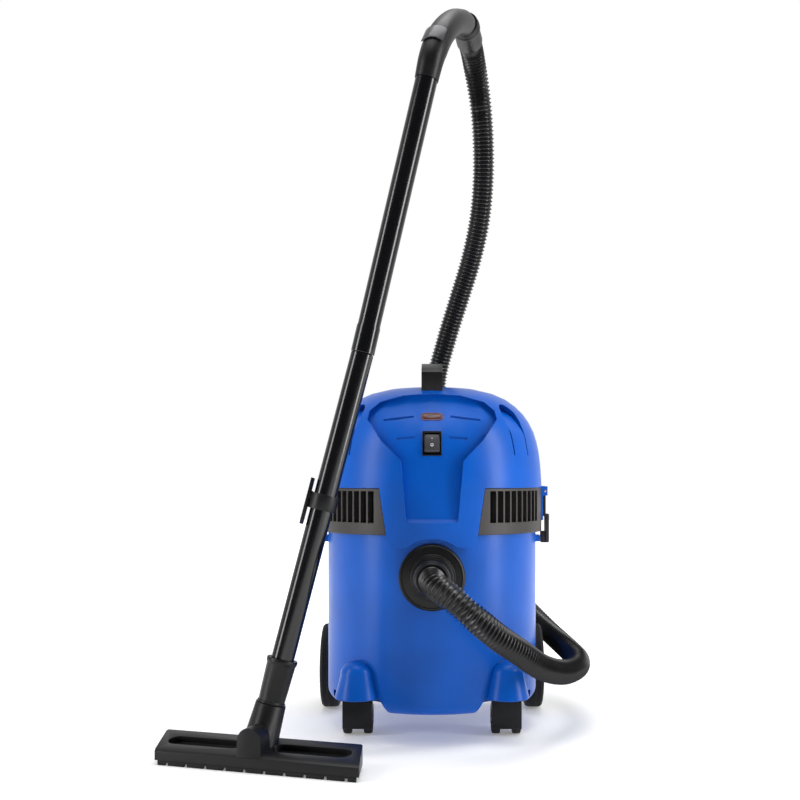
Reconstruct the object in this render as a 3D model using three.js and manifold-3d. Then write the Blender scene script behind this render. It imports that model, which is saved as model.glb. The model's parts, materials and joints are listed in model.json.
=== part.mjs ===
// Wet and dry vacuum cleaner: tank on castors, lift-off motor head, hose, two-piece wand and floor nozzle.
// Millimetres, +Z up, front towards -Y. Built about the tank's axis, then moved so that the origin
// is the middle of the footprint, on the floor.
import * as THREE from "three";
import { mergeVertices } from "three/addons/utils/BufferGeometryUtils.js";
import Module from "manifold-3d";

const wasm = await Module();
wasm.setup();

// ---- driving dimensions ----
const gap = 0.3; // left between neighbouring pieces
const roundSteps = 40; // facets round the tank and the head
const tank = { radius: 165, wall: 3, floor: 44, rim: 316, corner: 18 };
const band = { radius: 174.2, inner: 167, step: 170.2, bottom: 307.5, top: 375.7 };
const head = { radius: 174.5, wall: 4, base: 376, apronBottom: 288 };
const inlet = { height: 247, disc: 48.5, spigot: 23.6, bore: 18 };
const cuff = { radius: 28, front: -206 };
const hose = { radius: 19, sides: 8, steps: 46 };
const castor = { x: 113, y: -88, wheel: 21.5, width: 45, trail: 14, top: 56, web: 8.9, stem: 5 };
const rearWheel = { radius: 70.25, inner: 157, outer: 186, axleY: 125, axle: 6 };
const boss = { x: 111, y: -130, bottom: 65.8, ledge: 100.5, top: 120, wide: 33, narrow: 24.5, crown: 21.5 };
const well = { swing: 44, low: 30, lowRadius: 58, highRadius: 38, wall: 3.5 }; // room for a castor to turn
const latch = { pivotX: 178.6, pivotZ: 370, pin: 2, halfWidth: 17 };
const bar = { halfWidth: 16, reach: 98, foot: 72 }; // carry handle
const slot = { count: 9, first: 31, pitch: 4.45, width: 9.4, bottom: 321, top: 371 };
const motorPlate = { bottom: 320, top: 324, radius: 166.7, hole: 30 };
const filter = { inner: 52, outer: 82, bottom: 170, top: 312, pleats: 32 };
const foot = { x: -235.6, y: -266.6, turn: -17.3, length: 298, strip: 7, skew: -0.3 };
const wand = { radius: 16, bore: 14.2 };
const grip = { radius: 18.5, bore: 14.5, slider: 0.25, sliderTurn: -20, saddle: 19.9, saddleWall: 2.2 };

// places on the wand's centre line, about the tank's axis
const neckTop = new THREE.Vector3(-222.5, -238, 80);
const tubeJoint = new THREE.Vector3(-98, -210, 566);
const wandTop = new THREE.Vector3(-8, -197, 956);
const handlePoints = [
  [-7.9, -197, 956.6],
  [-0.6, -195.3, 988],
  [12, -172, 1028],
  [29, -124, 1066],
  [44, -70, 1090],
  [51, -37, 1101.5],
];
const cuffStart = new THREE.Vector3(53, -26, 1102);
const cuffEnd = new THREE.Vector3(61, 22, 1097);

// the hose from the inlet cuff, round the right side, up behind the tank and over to the handle
const hosePoints = [
  [0, -206.8, 247],
  [0, -222, 247],
  [7, -248, 241],
  [28, -266, 227],
  [56, -270, 203],
  [89, -252, 174],
  [122, -220, 148],
  [158, -170, 118],
  [196, -105, 99],
  [225, -40, 95],
  [236, 20, 95],
  [236, 80, 96],
  [226, 145, 103],
  [203, 200, 122],
  [166, 243, 160],
  [122, 266, 215],
  [80, 274, 280],
  [47, 272, 350],
  [22, 262, 430],
  [8, 248, 505],
  [8, 237, 567],
  [26, 228, 639],
  [48, 214, 709],
  [69, 193, 776],
  [83, 168, 840],
  [88.5, 146, 902],
  [88, 127, 964],
  [84, 112, 1012],
  [78.5, 96, 1046],
  [72, 75, 1073],
  [66, 49, 1091],
  [63.2, 35.5, 1095.6],
  [61.15, 23, 1096.9],
];

// ---- finishes ----
const finish = (color, roughness, metalness = 0) => ({ color, roughness, metalness });
const blue = finish(0x1450af, 0.38);
const black = finish(0x17171a, 0.45);
const gloss = finish(0x0c0c0f, 0.18);
const grey = finish(0x56514f, 0.55);
const rubber = finish(0x1a1a1c, 0.8);
const steel = finish(0x9a9ca0, 0.35, 1);
const paper = finish(0xd8d2c2, 0.9);
const red = finish(0x6e1216, 0.25);

// ---- shape helpers ----
const degrees = THREE.MathUtils.degToRad;

function solidOf(geometry) {
  const bare = geometry.clone();
  bare.deleteAttribute("normal");
  bare.deleteAttribute("uv");
  const merged = mergeVertices(bare, 1e-4);
  return new wasm.Manifold(
    new wasm.Mesh({
      numProp: 3,
      vertProperties: new Float32Array(merged.attributes.position.array),
      triVerts: new Uint32Array(merged.index.array),
    }),
  );
}

function geometryOf(solid) {
  const mesh = solid.getMesh();
  const geometry = new THREE.BufferGeometry();
  geometry.setAttribute("position", new THREE.BufferAttribute(mesh.vertProperties, 3));
  geometry.setIndex(new THREE.BufferAttribute(mesh.triVerts, 1));
  geometry.computeVertexNormals();
  return geometry;
}

function join(first, ...others) {
  return geometryOf(others.reduce((whole, next) => whole.add(solidOf(next)), solidOf(first)));
}

function cut(first, ...others) {
  return geometryOf(others.reduce((whole, next) => whole.subtract(solidOf(next)), solidOf(first)));
}

function common(first, second) {
  return geometryOf(solidOf(first).intersect(solidOf(second)));
}

function block(xs, ys, zs) {
  const middle = ([low, high]) => (low + high) / 2;
  const box = new THREE.BoxGeometry(xs[1] - xs[0], ys[1] - ys[0], zs[1] - zs[0]);
  return box.translate(middle(xs), middle(ys), middle(zs));
}

// a profile of [radius, height] points spun about Z
function spun(profile, steps = roundSteps) {
  const points = profile.map(([r, z]) => new THREE.Vector2(r, z));
  return new THREE.LatheGeometry(points, steps).rotateX(Math.PI / 2);
}

// a closed ring of rectangular section about Z
function ring(inner, outer, low, high, steps = roundSteps) {
  const profile = [
    [inner, low],
    [outer, low],
    [outer, high],
    [inner, high],
    [inner, low],
  ];
  return spun(profile, steps);
}

// a cylinder or cone about Z
function rod(lowRadius, highRadius, low, high, steps = 32) {
  const made = new THREE.CylinderGeometry(highRadius, lowRadius, high - low, steps);
  return made.rotateX(Math.PI / 2).translate(0, 0, (low + high) / 2);
}

function shapeOf(points) {
  return new THREE.Shape(points.map(([x, y]) => new THREE.Vector2(x, y)));
}

// an outline drawn in X and Z, given a thickness from y = low to y = high
function frontPrism(points, low, high) {
  const made = new THREE.ExtrudeGeometry(shapeOf(points), { depth: high - low, bevelEnabled: false });
  return made.rotateX(Math.PI / 2).translate(0, high, 0);
}

// an outline drawn in Y and Z, given a thickness from x = low to x = high
function sidePrism(points, low, high) {
  const made = new THREE.ExtrudeGeometry(shapeOf(points), { depth: high - low, bevelEnabled: false });
  return made.rotateX(Math.PI / 2).rotateZ(Math.PI / 2).translate(low, 0, 0);
}

function stadium(halfLength, radius, steps = 10) {
  const points = [];
  for (const side of [1, -1]) {
    for (let i = 0; i <= steps; i += 1) {
      const angle = side * Math.PI / 2 - side * (Math.PI * i) / steps;
      const x = side * (halfLength - radius) + radius * Math.cos(angle) * (side > 0 ? 1 : -1);
      points.push([x, radius * Math.sin(angle)]);
    }
  }
  return points;
}

function curveOf(points) {
  return new THREE.CatmullRomCurve3(points.map((p) => new THREE.Vector3(...p)), false, "centripetal");
}

function circle(radius, sides) {
  const points = [];
  for (let i = 0; i < sides; i += 1) {
    const angle = (2 * Math.PI * i) / sides;
    points.push([radius * Math.cos(angle), radius * Math.sin(angle)]);
  }
  return points;
}

function tubeAlong(curve, radius, bore, steps, sides) {
  const section = shapeOf(circle(radius, sides));
  if (bore) section.holes.push(shapeOf(circle(bore, sides).reverse()));
  return new THREE.ExtrudeGeometry(section, { steps, extrudePath: curve, bevelEnabled: false });
}

function piece(parent, name, geometry, look) {
  const mesh = new THREE.Mesh(geometry, new THREE.MeshStandardMaterial(look));
  mesh.name = name;
  parent.add(mesh);
  return mesh;
}

// a group whose own Z axis runs from one point towards another
function alongLine(parent, from, to) {
  const group = new THREE.Group();
  const direction = to.clone().sub(from).normalize();
  group.position.copy(from);
  group.quaternion.setFromUnitVectors(new THREE.Vector3(0, 0, 1), direction);
  parent.add(group);
  return group;
}

function placed(parent, x, y, z) {
  const group = new THREE.Group();
  group.position.set(x, y, z);
  parent.add(group);
  return group;
}

const vacuum = new THREE.Group();
const body = placed(vacuum, 0, 0, 0);

// ---- tank ----
function cornerArc(radius, floor, corner, steps = 3) {
  const points = [];
  for (let i = 0; i <= steps; i += 1) {
    const angle = -Math.PI / 2 + (Math.PI / 2) * (i / steps);
    points.push([radius - corner + corner * Math.cos(angle), floor + corner + corner * Math.sin(angle)]);
  }
  return points;
}

function castorBoss(side) {
  const skirt = rod(boss.wide, boss.narrow, boss.bottom, boss.ledge, 16);
  const crown = new THREE.SphereGeometry(1, 16, 8).scale(boss.crown, boss.crown, boss.top - boss.ledge);
  return join(skirt, crown.translate(0, 0, boss.ledge)).translate(side * boss.x, boss.y, 0);
}

function makeTank() {
  const outside = [[0, tank.floor], ...cornerArc(tank.radius, tank.floor, tank.corner)];
  outside.push([tank.radius, tank.rim], [0, tank.rim]);
  const inRadius = tank.radius - tank.wall;
  const inFloor = tank.floor + tank.wall;
  const inside = [[0, inFloor], ...cornerArc(inRadius, inFloor, tank.corner - tank.wall)];
  inside.push([inRadius, tank.rim + 1], [0, tank.rim + 1]);
  const axleZ = rearWheel.radius;
  const tunnel = block([-148, 148], [rearWheel.axleY - 20, rearWheel.axleY + 20], [50, 92]);
  const keep = [tunnel];
  let shell = spun(outside);
  for (const side of [-1, 1]) {
    const away = [side * castor.x, castor.y, 0];
    const ahead = [side * boss.x, boss.y, 0];
    const swing = well.swing;
    const room = rod(swing, swing, well.low, boss.bottom, 40).translate(...away);
    const flare = rod(well.lowRadius, well.highRadius, well.low, boss.bottom, 40).translate(...ahead);
    shell = join(cut(shell, room, flare), castorBoss(side));
    const roof = boss.bottom + tank.wall;
    const around = swing + well.wall;
    const wide = [well.lowRadius + well.wall, well.highRadius + well.wall];
    keep.push(rod(around, around, well.low, roof, 40).translate(...away));
    keep.push(rod(...wide, well.low, roof, 40).translate(...ahead));
    keep.push(rod(10, 10, 40, 90, 24).translate(...away));
    keep.push(castorBoss(side));
  }
  const hollow = cut(spun(inside), ...keep);
  shell = cut(join(shell, tunnel), hollow);
  // latch keepers on the sides
  const keepers = [-1, 1].map((side) =>
    block(side > 0 ? [162.5, 171.5] : [-171.5, -162.5], [-14, 14], [290, 300]),
  );
  shell = join(shell, ...keepers);
  const stems = [-1, 1].map((side) =>
    rod(castor.stem + 0.4, castor.stem + 0.4, 40, 86, 24).translate(side * castor.x, castor.y, 0),
  );
  const axleHole = rod(rearWheel.axle + gap, rearWheel.axle + gap, -200, 200, 24)
    .rotateY(Math.PI / 2)
    .translate(0, rearWheel.axleY, axleZ);
  const inletHole = rod(24, 24, -200, -120, 32);
  inletHole.rotateX(-Math.PI / 2).translate(0, 0, inlet.height);
  return cut(shell, ...stems, axleHole, inletHole);
}

piece(body, "tank", makeTank(), blue);

// ---- inlet ----
// a profile of [radius, distance in front of the tank's axis] spun about the inlet's axis
function spunForward(profile, steps = 32) {
  return spun(profile, steps).rotateX(Math.PI / 2).translate(0, 0, inlet.height);
}

function makeInletFlange() {
  const disc = spunForward([
    [0, 150],
    [inlet.disc, 150],
    [inlet.disc, 172],
    [inlet.disc - 4, 176],
    [0, 178],
  ]);
  const seated = cut(disc, rod(tank.radius + gap, tank.radius + gap, 150, 350, roundSteps));
  const spigot = spunForward([
    [0, 145],
    [inlet.spigot, 145],
    [inlet.spigot, 172],
    [0, 172],
  ]);
  const bore = spunForward([
    [0, 140],
    [inlet.bore, 140],
    [inlet.bore, 185],
    [0, 185],
  ]);
  return cut(join(seated, spigot), bore);
}

piece(body, "inlet_flange", makeInletFlange(), black);
piece(
  body,
  "inlet_cuff",
  spunForward([
    [inlet.bore, 178.3],
    [cuff.radius + 3, 178.3],
    [cuff.radius + 3, 183],
    [cuff.radius, 185],
    [cuff.radius - 1, 199],
    [22, -cuff.front],
    [inlet.bore, -cuff.front],
    [inlet.bore, 178.3],
  ]),
  black,
);

// ---- castors ----
function makeCastorHood() {
  const across = (radius, low, high) =>
    rod(radius, radius, low, high, 20).rotateY(Math.PI / 2).translate(0, castor.trail, castor.wheel);
  const half = castor.width / 2;
  const bridge = block([-half, half], [-11, 11], [castor.wheel, castor.top]);
  const cover = join(across(25, -half, half), bridge);
  const wells = [across(22.4, castor.web, half + 1), across(22.4, -half - 1, -castor.web)];
  const axleHole = across(3.3, -half - 1, half + 1);
  const stemHole = rod(castor.stem + gap, castor.stem + gap, 38, castor.top + 4, 24);
  const under = block([-40, 40], [-40, 60], [-10, 11]);
  return cut(cover, ...wells, axleHole, stemHole, under);
}

for (const [side, word] of [[-1, "left"], [1, "right"]]) {
  const one = placed(body, side * castor.x, castor.y, 0);
  piece(one, `castor_${word}_stem`, rod(castor.stem, castor.stem, 38.3, 84, 24), steel);
  piece(one, `castor_${word}_hood`, makeCastorHood(), black);
  const hub = placed(one, 0, castor.trail, castor.wheel);
  const axle = rod(3, 3, -castor.width / 2, castor.width / 2, 20).rotateY(Math.PI / 2);
  piece(hub, `castor_${word}_axle`, axle, steel);
  for (const [end, letter] of [[-1, "a"], [1, "b"]]) {
    const low = castor.web + gap;
    const high = castor.width / 2;
    const wheel = spun([
      [3.3, low],
      [20, low],
      [castor.wheel, low + 1.5],
      [castor.wheel, high - 2.5],
      [18.5, high],
      [3.3, high],
      [3.3, low],
    ], 20);
    piece(hub, `castor_${word}_wheel_${letter}`, wheel.rotateY((end * Math.PI) / 2), rubber);
  }
}

// ---- rear wheels ----
const axleGroup = placed(body, 0, rearWheel.axleY, rearWheel.radius);
const axleBar = rod(rearWheel.axle, rearWheel.axle, -182, 182, 24).rotateY(Math.PI / 2);
piece(axleGroup, "rear_axle", axleBar, steel);

function makeHub() {
  const disc = spun([
    [rearWheel.axle + gap, 160],
    [14, 158],
    [14, 164],
    [44, 166],
    [44, 159],
    [51.7, 159],
    [51.7, 184],
    [46, 184],
    [43, 176],
    [16, 176],
    [14, 182.4],
    [rearWheel.axle + gap, 182.4],
    [rearWheel.axle + gap, 160],
  ], 20);
  const windows = [];
  for (let i = 0; i < 6; i += 1) {
    windows.push(rod(8, 8, 150, 190, 8).translate(29, 0, 0).rotateZ((i * Math.PI) / 3));
  }
  return cut(disc, ...windows);
}

for (const [side, word] of [[-1, "left"], [1, "right"]]) {
  const tyre = spun([
    [52, rearWheel.inner + 1],
    [66, rearWheel.inner],
    [69.2, rearWheel.inner + 3],
    [rearWheel.radius, rearWheel.inner + 10],
    [rearWheel.radius, rearWheel.outer - 10],
    [69.2, rearWheel.outer - 3],
    [66, rearWheel.outer],
    [52, rearWheel.outer - 1],
    [52, rearWheel.inner + 1],
  ], 32);
  const turn = (side * Math.PI) / 2;
  piece(axleGroup, `rear_tyre_${word}`, tyre.rotateY(turn), rubber);
  piece(axleGroup, `rear_hub_${word}`, makeHub().rotateY(turn), black);
  piece(axleGroup, `rear_cap_${word}`, rod(13, 11, 182.7, 187, 28).rotateY(turn), grey);
}

// ---- head shell ----
const domeProfile = [
  [head.radius, head.base],
  [172.3, 410],
  [168.6, 438],
  [161.5, 463],
  [149.8, 484.5],
  [133, 503],
  [109, 518.5],
  [70, 530],
  [0, 534.5],
];

// the control panel's outline, right half from the top, grown outwards by a margin
function panelOutline(margin) {
  const half = [
    [42, 514.5 + margin],
    [78 + margin / 2, 505 + margin],
    [94 + margin, 491 + margin / 2],
    [96.5 + margin, 478],
    [75 + margin, 446 - margin / 2],
    [45.5 + margin, 416 - margin / 2],
    [37.2 + margin, 331 - margin],
  ];
  const left = half.map(([x, z]) => [-x, z]).reverse();
  return [[0, 517 + margin], ...half, ...left].reverse();
}

// the panel's surface from the side, [y, z], moved back by a margin
function panelSide(margin) {
  return [
    [-167.5 + margin, 320],
    [-167.5 + margin, 331],
    [-160 + margin, 400],
    [-144 + margin, 455],
    [-108 + margin, 505],
    [-103 + margin, 520],
    [-103 + margin, 560],
  ];
}

function panelCutter(margin) {
  const side = [[-220, 320], ...panelSide(margin), [-220, 560]];
  return common(frontPrism(panelOutline(margin), -220, -20), sidePrism(side, -140, 140));
}

function bowl(margin) {
  const ball = new THREE.SphereGeometry(1, 16, 10).rotateX(Math.PI / 2);
  return ball.scale(58 + margin, 66 + margin, 50 + margin).translate(0, 0, 560);
}

function apronOutline(margin) {
  const half = [
    [77.5 + margin, 377 + margin],
    [67 + margin, 309],
    [64 + margin, 296],
    [58 + margin / 2, head.apronBottom - margin],
  ];
  const arch = [];
  const archRadius = 56 - margin;
  const reach = Math.acos((head.apronBottom - margin - inlet.height) / archRadius);
  for (let i = 0; i <= 12; i += 1) {
    const angle = reach - (2 * reach * i) / 12;
    arch.push([archRadius * Math.sin(angle), inlet.height + archRadius * Math.cos(angle)]);
  }
  const left = half.map(([x, z]) => [-x, z]).reverse();
  return [...half, ...arch, ...left].reverse();
}

// the pads behind the latches
function sidePads(margin) {
  return [-1, 1].map((side) => {
    const xs = [160, 174.6 + margin].map((x) => side * x).sort((a, b) => a - b);
    return block(xs, [-30 - margin, 30 + margin], [324 - margin, 378]);
  });
}

// places on the tilted panel
const switchSpot = { y: -148.1, z: 441, tilt: 16.2 };
const lensSpot = { y: -124.9, z: 481.5, tilt: 35.8 };

// moves a shape made about the panel's own axes to its place, its +Z then running up the panel
function onPanel(geometry, spot) {
  return geometry.rotateX(-degrees(spot.tilt)).translate(0, spot.y, spot.z);
}

function makeHeadShell() {
  const inner = domeProfile.map(([r, z]) => [Math.max(r - head.wall, 0), z - (z > 440 ? head.wall : 0)]);
  inner[inner.length - 1][0] = 0;
  const outerDome = spun([[0, head.base], ...domeProfile]);
  const hollow = cut(
    spun([[0, head.base - 10], [head.radius - head.wall, head.base - 10], ...inner]),
    panelCutter(3.5),
    bowl(3.5),
  );
  const skirt = ring(band.step + gap, head.radius, head.apronBottom - 5, head.base + 6);
  const apron = common(skirt, frontPrism(apronOutline(0), -220, -100));
  const inside = rod(band.step + gap, band.step + gap, 300, 400, roundSteps);
  const pads = sidePads(0).map((pad) => cut(pad, inside));
  const lugs = [];
  for (const side of [-1, 1]) {
    for (const end of [-1, 1]) {
      const xs = [172, 182.4].map((x) => side * x).sort((a, b) => a - b);
      const ys = [17.8, 23].map((y) => end * y).sort((a, b) => a - b);
      lugs.push(block(xs, ys, [363, 377.5]));
    }
  }
  const switchHole = onPanel(block([-13.4, 13.4], [-20, 20], [-17.4, 17.4]), switchSpot);
  const lensHole = onPanel(frontPrism(stadium(15.3, 5.6), -20, 20), lensSpot);
  const glandHole = rod(8.3, 8.3, 150, 190, 24).rotateX(-Math.PI / 2).translate(0, 0, 410);
  const pinHole = rod(latch.pin + gap, latch.pin + gap, -40, 40, 16).rotateX(Math.PI / 2);
  const pinHoles = [-1, 1].map((side) => pinHole.clone().translate(side * latch.pivotX, 0, latch.pivotZ));
  return cut(
    join(cut(outerDome, panelCutter(0), bowl(0), hollow), apron, ...pads, ...lugs),
    switchHole,
    lensHole,
    glandHole,
    ...pinHoles,
  );
}

piece(body, "head_shell", makeHeadShell(), blue);

// ---- vent band ----
function makeVentBand() {
  const core = ring(band.inner, band.step, band.bottom, band.top);
  const face = cut(
    ring(band.step - 1, band.radius, band.bottom, band.top),
    frontPrism(apronOutline(0.5), -220, -100),
    ...sidePads(0.5),
  );
  const openings = [];
  for (const [side, back] of [[-1, false], [1, false], [-1, true], [1, true]]) {
    for (let i = 0; i < slot.count; i += 1) {
      const azimuth = slot.first + i * slot.pitch;
      const angle = degrees(side * (back ? 180 - azimuth : azimuth));
      const wide = block([-slot.width / 2, slot.width / 2], [-190, -150], [slot.bottom + 4.5, slot.top]);
      openings.push(wide.rotateZ(angle));
    }
  }
  return cut(join(core, face), ...openings);
}

piece(body, "vent_band", makeVentBand(), grey);

// ---- carry handle: a bar from front to back over the scooped top ----
function makeCarryHandle() {
  const side = [
    [-bar.reach, 512],
    [-bar.foot, 512],
    [-bar.foot + 6, 545],
    [-50, 551],
    [0, 555],
    [50, 551],
    [bar.foot - 6, 545],
    [bar.foot, 512],
    [bar.reach, 512],
    [bar.reach, 551],
    [88, 558],
    [50, 568],
    [0, 572],
    [-50, 568],
    [-88, 558],
    [-bar.reach, 551],
  ];
  const dome = domeProfile.map(([r, z]) => [r, z + gap]);
  return cut(sidePrism(side, -bar.halfWidth, bar.halfWidth), spun([[0, 480], [170, 480], ...dome.slice(4)]));
}

piece(body, "carry_handle", makeCarryHandle(), black);

// ---- switch and filter window ----
const bezel = cut(
  join(
    block([-14.3, 14.3], [-2.8, -0.4], [-19, 19]),
    block([-13, 13], [-0.6, 13], [-17, 17]),
  ),
  block([-11.4, 11.4], [-5, 10.5], [-16.2, 16.2]),
);
piece(body, "switch_bezel", onPanel(bezel, switchSpot), gloss);
const rocker = sidePrism(
  [
    [-1, 14.4],
    [-3, 6],
    [-6.5, -11.5],
    [-5.5, -13.6],
    [5, -13.6],
    [6, 0],
    [5, 14.4],
  ],
  -10.9,
  10.9,
);
piece(body, "rocker_switch", onPanel(rocker, switchSpot), grey);
piece(body, "filter_window", onPanel(frontPrism(stadium(15, 5.3), -1.2, 3), lensSpot), red);

// ---- cord gland: a bush in the back of the head ----
const gland = spun([
  [4.5, 158],
  [8, 158],
  [8, 174.2],
  [12, 174.2],
  [11, 179],
  [4.5, 179],
  [4.5, 158],
], 20);
piece(body, "cord_gland", gland.rotateX(-Math.PI / 2).translate(0, 0, 410), black);

// ---- motor, fan and plate ----
const ledgeHoles = [0, 1, 2, 3].map((i) => {
  const hole = rod(2.3, 2.3, 300, 340, 12).translate(64, 0, 0);
  return hole.rotateZ(degrees(45 + 90 * i));
});
piece(
  body,
  "motor_plate",
  cut(ring(motorPlate.hole, motorPlate.radius, motorPlate.bottom, motorPlate.top), ...ledgeHoles),
  black,
);
piece(body, "tank_gasket", ring(156, 165, 316.3, 319.7), rubber);

function makeMotorCan() {
  const can = spun([
    [52, 324.3],
    [72, 324.3],
    [72, 327.5],
    [58, 327.5],
    [58, 472],
    [52, 476],
    [9, 476],
    [9, 473],
    [50, 473],
    [55, 469],
    [55, 356],
    [52, 354],
    [52, 324.3],
  ], 28);
  const vents = [0, 1, 2, 3, 4, 5].map((i) => {
    const vent = block([46, 64], [-9, 9], [430, 455]);
    return vent.rotateZ(degrees(60 * i));
  });
  return cut(can, ...vents, ...ledgeHoles);
}

piece(body, "motor_can", makeMotorCan(), steel);
piece(
  body,
  "motor_rotor",
  spun([
    [0, 330],
    [12, 330],
    [48, 333],
    [48, 350],
    [14, 352],
    [5, 356],
    [5, 375],
    [30, 375],
    [30, 425],
    [5, 425],
    [5, 440],
    [12, 440],
    [12, 455],
    [5, 455],
    [5, 482],
    [0, 482],
  ], 24),
  steel,
);
for (let i = 0; i < 4; i += 1) {
  const screw = spun([
    [0, 315],
    [2, 315],
    [2, 327.8],
    [4, 327.8],
    [4, 330.5],
    [0, 331],
  ], 12);
  const place = placed(body, 0, 0, 0);
  place.rotation.z = degrees(45 + 90 * i);
  piece(place, `motor_screw_${i + 1}`, screw.translate(64, 0, 0), steel);
}

// ---- float cage, float and filter ----
function makeFloatCage() {
  const shell = spun([
    [0, 212],
    [44, 212],
    [46, 215],
    [46, 300],
    [50, 312.5],
    [50, 319.7],
    [31, 319.7],
    [31, 308],
    [43, 300],
    [43, 216],
    [0, 216],
  ], 28);
  const windows = [0, 1, 2, 3, 4, 5, 6, 7].map((i) => {
    const window = block([38, 52], [-10, 10], [232, 292]);
    return window.rotateZ(degrees(45 * i));
  });
  return cut(shell, ...windows);
}

piece(body, "float_cage", makeFloatCage(), black);
piece(body, "float", rod(34, 34, 216.3, 262, 32), finish(0xd9d9d6, 0.5));

function makeFilter() {
  const outline = [];
  for (let i = 0; i < filter.pleats * 2; i += 1) {
    const angle = (Math.PI * i) / filter.pleats;
    const radius = i % 2 ? filter.outer - 9 : filter.outer;
    outline.push([radius * Math.cos(angle), radius * Math.sin(angle)]);
  }
  const section = shapeOf(outline);
  section.holes.push(shapeOf(circle(filter.inner, 32).reverse()));
  const depth = filter.top - filter.bottom;
  return new THREE.ExtrudeGeometry(section, { depth, bevelEnabled: false }).translate(0, 0, filter.bottom);
}

piece(body, "filter_cartridge", makeFilter(), paper);
piece(
  body,
  "filter_cap",
  spun([
    [0, 160],
    [84, 160],
    [85, 163],
    [85, 169.7],
    [0, 169.7],
  ], 48),
  black,
);

// ---- latches ----
for (const [side, word] of [[-1, "left"], [1, "right"]]) {
  const one = placed(body, side * latch.pivotX, 0, latch.pivotZ);
  one.rotation.z = side > 0 ? 0 : Math.PI;
  const pin = rod(latch.pin, latch.pin, -23.5, 23.5, 16).rotateX(Math.PI / 2);
  piece(one, `latch_${word}_pin`, pin, steel);
  const knuckle = rod(3.6, 3.6, -latch.halfWidth, latch.halfWidth, 20).rotateX(Math.PI / 2);
  const bore = rod(2.3, 2.3, -30, 30, 16).rotateX(Math.PI / 2);
  const arm = join(knuckle, block([-1.5, 1.6], [-latch.halfWidth, latch.halfWidth], [-40, 0]));
  piece(one, `latch_${word}_arm`, cut(arm, bore), black);
  const lever = sidePrism(
    [
      [-15, -36.5],
      [-15, -78],
      [-11, -82],
      [11, -82],
      [15, -78],
      [15, -36.5],
    ],
    1.9,
    7.2,
  );
  const hook = block([-5.2, 3], [-11, 11], [-82, -64]);
  piece(one, `latch_${word}_lever`, join(lever, hook), grey);
}

// ---- floor nozzle ----
const nozzle = placed(body, foot.x, foot.y, 0);
nozzle.rotation.z = degrees(foot.turn);

// slants the ends of a shape made square to the nozzle
function skewed(geometry) {
  return geometry.applyMatrix4(new THREE.Matrix4().makeShear(0, 0, foot.skew, 0, 0, 0));
}

function makeNozzleFoot() {
  const half = foot.length / 2;
  const low = foot.strip;
  const plate = sidePrism(
    [
      [-35, low],
      [-35, 19],
      [-31, 22],
      [31, 33],
      [36, 29],
      [36, low],
    ],
    -half,
    half,
  );
  const corners = [];
  for (const side of [-1, 1]) {
    const corner = block([-12, 12], [-12, 12], [0, 60]).rotateZ(degrees(35 * side));
    corners.push(corner.translate(side * (half + 6), 40, 0));
  }
  const pockets = [-1, 1].map((side) => {
    const pocket = new THREE.ExtrudeGeometry(shapeOf(stadium(57, 13)), { depth: 30, bevelEnabled: false });
    return pocket.rotateX(degrees(10)).translate(side * 79, 1, 18.5);
  });
  // the neck leans with the wand; all its points are in the nozzle's own axes
  const top = neckTop.clone().sub(new THREE.Vector3(foot.x, foot.y, 0));
  top.applyAxisAngle(new THREE.Vector3(0, 0, 1), -degrees(foot.turn));
  const base = new THREE.Vector3(-4, 4, 14);
  const between = (low2, high2, from, to) => {
    const length = from.distanceTo(to);
    const made = rod(low2, high2, 0, length, 32);
    const turn = new THREE.Quaternion().setFromUnitVectors(
      new THREE.Vector3(0, 0, 1),
      to.clone().sub(from).normalize(),
    );
    return made.applyQuaternion(turn).translate(from.x, from.y, from.z);
  };
  const onward = tubeJoint.clone().sub(neckTop).normalize();
  onward.applyAxisAngle(new THREE.Vector3(0, 0, 1), -degrees(foot.turn));
  const neckEnd = top.clone().addScaledVector(top.clone().sub(base), 0.25);
  const neck = between(25, 20, base, neckEnd);
  const above = between(40, 40, top, top.clone().addScaledVector(onward, 60));
  const boreEnd = top.clone().addScaledVector(top.clone().sub(base), 0.2);
  const bore = between(15, 15, new THREE.Vector3(-4, 2, 10), boreEnd);
  const cheekHalf = 17;
  const cheekRise = 42;
  const arch = [];
  for (let i = 0; i <= 12; i += 1) {
    const angle = (Math.PI * i) / 12;
    arch.push([cheekHalf * Math.cos(angle), cheekRise + cheekHalf * Math.sin(angle)]);
  }
  const cheek = frontPrism([...arch, [-18, low], [18, low]].reverse(), -33, -4).translate(2, 0, 0);
  const mouth = skewed(block([-half + 9, half - 9], [-24, 24], [-5, 15]));
  const whole = join(cut(skewed(cut(plate, ...corners)), ...pockets), cheek, neck);
  return cut(whole, mouth, bore, above, block([-200, 200], [-60, 60], [-20, low]));
}

piece(nozzle, "nozzle_foot", makeNozzleFoot(), black);

function makeStrip(low, high) {
  const half = foot.length / 2 - 4;
  const notches = [];
  for (let i = 0; i < 10; i += 1) {
    const x = -half + 14 + i * ((2 * half - 28) / 9);
    notches.push(block([x - 2, x + 2], [low - 1, high + 1], [-1, 4]));
  }
  return skewed(cut(block([-half, half], [low, high], [0, foot.strip - gap]), ...notches));
}

piece(nozzle, "nozzle_front_strip", makeStrip(-34, -26), rubber);
piece(nozzle, "nozzle_rear_strip", makeStrip(26, 34), rubber);

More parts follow.
